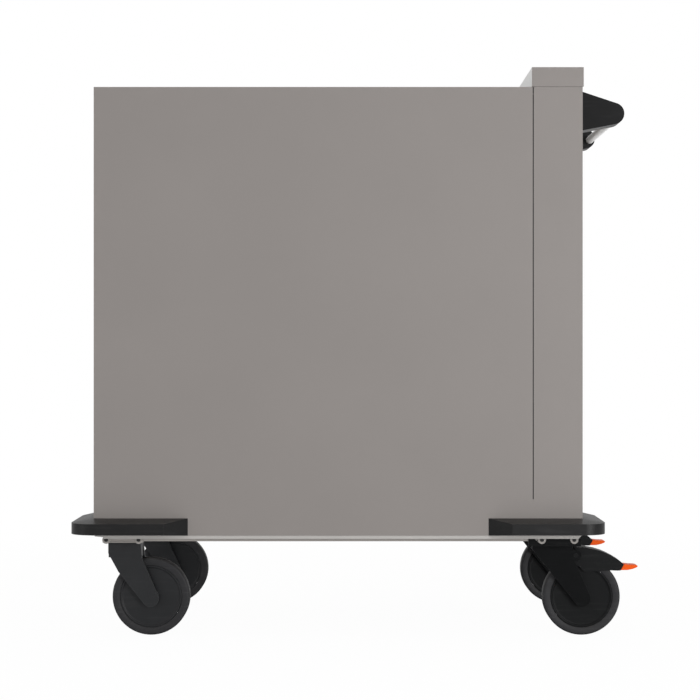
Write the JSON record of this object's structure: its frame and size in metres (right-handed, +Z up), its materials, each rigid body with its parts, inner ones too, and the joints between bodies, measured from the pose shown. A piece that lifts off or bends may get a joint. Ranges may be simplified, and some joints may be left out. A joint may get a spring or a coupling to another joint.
{
  "type": "housekeeping cart",
  "caption": "Closed-panel housekeeping cart with tray top, two-door cupboard, lidded console, corner bumpers, push handle and braked swivel casters.",
  "frame": {"origin": "on the floor, under the middle of the cart's overall box", "axes": "+X along the cart towards the push handle, +Y across it towards the doors, +Z up"},
  "size_m": [1.091, 0.634, 1.094],
  "materials": {
    "body_paint": "warm grey satin powder coat",
    "inner_paint": "grey satin powder coat",
    "light_laminate": "light grey fine-grained laminate",
    "chassis_paint": "grey satin powder coat",
    "zinc": "bright zinc plate",
    "screw_black": "black oxide",
    "bumper_plastic": "grained black elastomer",
    "bracket_plastic": "fine-grained black plastic",
    "bar_aluminium": "satin anodised",
    "lock_chrome": "polished",
    "caster_plastic": "moulded charcoal plastic",
    "tyre_rubber": "dark grey non-marking rubber",
    "pedal_orange": "bright orange plastic"
  },
  "bodies": {
    "cart_body": {"near_chassis_rail": "chassis_paint", "far_chassis_rail": "chassis_paint", "base_deck": "inner_paint", "near_side_panel": "body_paint", "door_side_frame": "body_paint", "front_end_panel": "body_paint", "push_end_panel": "body_paint", "console_partition": "light_laminate", "worktop": "light_laminate", "lower_shelf": "inner_paint", "upper_shelf": "inner_paint", "shelf_bearers": "zinc", "near_front_bumper": "bumper_plastic", "near_push_bumper": "bumper_plastic", "far_front_bumper": "bumper_plastic", "far_push_bumper": "bumper_plastic", "body_screws": "zinc", "near_handle_bracket": "bracket_plastic", "far_handle_bracket": "bracket_plastic", "push_bar": "bar_aluminium", "near_front_caster_plate": "chassis_paint", "far_front_caster_plate": "chassis_paint", "near_push_caster_plate": "chassis_paint", "far_push_caster_plate": "chassis_paint", "caster_covers": "caster_plastic", "caster_screws": "screw_black", "hinge_leaves": "zinc", "hinge_pins": "zinc"},
    "lid": {"console_lid": "body_paint", "lid_hinge_flap": "zinc"},
    "front_door_leaf": {"front_door": "body_paint", "front_door_hinge_flaps": "zinc", "front_door_pull": "bracket_plastic", "front_lock_barrel": "lock_chrome"},
    "front_lock": {"front_lock_cam": "lock_chrome"},
    "push_door_leaf": {"push_door": "body_paint", "push_door_hinge_flaps": "zinc", "push_door_pull": "bracket_plastic", "push_lock_barrel": "lock_chrome"},
    "push_lock": {"push_lock_cam": "lock_chrome"},
    "near_front_swivel": {"near_front_fork": "caster_plastic", "near_front_axle": "zinc"},
    "near_front_roller": {"near_front_wheel": "caster_plastic", "near_front_tyre": "tyre_rubber"},
    "far_front_swivel": {"far_front_fork": "caster_plastic", "far_front_axle": "zinc"},
    "far_front_roller": {"far_front_wheel": "caster_plastic", "far_front_tyre": "tyre_rubber"},
    "near_push_swivel": {"near_push_fork": "caster_plastic", "near_push_axle": "zinc"},
    "near_push_roller": {"near_push_wheel": "caster_plastic", "near_push_tyre": "tyre_rubber"},
    "near_push_brake": {"near_push_pedal": "caster_plastic", "near_push_pedal_tip": "pedal_orange"},
    "far_push_swivel": {"far_push_fork": "caster_plastic", "far_push_axle": "zinc"},
    "far_push_roller": {"far_push_wheel": "caster_plastic", "far_push_tyre": "tyre_rubber"},
    "far_push_brake": {"far_push_pedal": "caster_plastic", "far_push_pedal_tip": "pedal_orange"}
  },
  "joints": [
    {"name": "lid_hinge", "type": "hinge", "parent": "cart_body", "child": "lid", "pos_m": [0.4345, 0, 1.055], "axis": [0, 1, 0], "range_deg": [0, 100]},
    {"name": "front_door_hinge", "type": "hinge", "parent": "cart_body", "child": "front_door_leaf", "pos_m": [-0.4745, 0.28, 0.628], "axis": [0, 0, 1], "range_deg": [0, 175]},
    {"name": "push_door_hinge", "type": "hinge", "parent": "cart_body", "child": "push_door_leaf", "pos_m": [0.308, 0.28, 0.628], "axis": [0, 0, -1], "range_deg": [0, 175]},
    {"name": "front_lock_turn", "type": "hinge", "parent": "front_door_leaf", "child": "front_lock", "pos_m": [-0.12375, 0.262, 0.6], "axis": [0, 1, 0], "range_deg": [0, 90]},
    {"name": "push_lock_turn", "type": "hinge", "parent": "push_door_leaf", "child": "push_lock", "pos_m": [-0.04275, 0.262, 0.6], "axis": [0, -1, 0], "range_deg": [0, 90]},
    {"name": "near_front_swivel_turn", "type": "hinge", "parent": "cart_body", "child": "near_front_swivel", "pos_m": [-0.4495, -0.213, 0.17], "axis": [0, 0, 1], "continuous": true},
    {"name": "near_front_wheel_spin", "type": "hinge", "parent": "near_front_swivel", "child": "near_front_roller", "pos_m": [-0.3995, -0.213, 0.075], "axis": [0, 1, 0], "continuous": true},
    {"name": "far_front_swivel_turn", "type": "hinge", "parent": "cart_body", "child": "far_front_swivel", "pos_m": [-0.4495, 0.213, 0.17], "axis": [0, 0, 1], "continuous": true},
    {"name": "far_front_wheel_spin", "type": "hinge", "parent": "far_front_swivel", "child": "far_front_roller", "pos_m": [-0.3995, 0.213, 0.075], "axis": [0, 1, 0], "continuous": true},
    {"name": "near_push_swivel_turn", "type": "hinge", "parent": "cart_body", "child": "near_push_swivel", "pos_m": [0.3855, -0.213, 0.17], "axis": [0, 0, 1], "continuous": true},
    {"name": "near_push_wheel_spin", "type": "hinge", "parent": "near_push_swivel", "child": "near_push_roller", "pos_m": [0.4355, -0.213, 0.075], "axis": [0, 1, 0], "continuous": true},
    {"name": "near_push_brake_press", "type": "hinge", "parent": "near_push_swivel", "child": "near_push_brake", "pos_m": [0.4235, -0.213, 0.156], "axis": [0, 1, 0], "range_deg": [0, 10]},
    {"name": "far_push_swivel_turn", "type": "hinge", "parent": "cart_body", "child": "far_push_swivel", "pos_m": [0.3855, 0.213, 0.17], "axis": [0, 0, 1], "continuous": true},
    {"name": "far_push_wheel_spin", "type": "hinge", "parent": "far_push_swivel", "child": "far_push_roller", "pos_m": [0.4355, 0.213, 0.075], "axis": [0, 1, 0], "continuous": true},
    {"name": "far_push_brake_press", "type": "hinge", "parent": "far_push_swivel", "child": "far_push_brake", "pos_m": [0.4235, 0.213, 0.156], "axis": [0, 1, 0], "range_deg": [0, 10]}
  ]
}
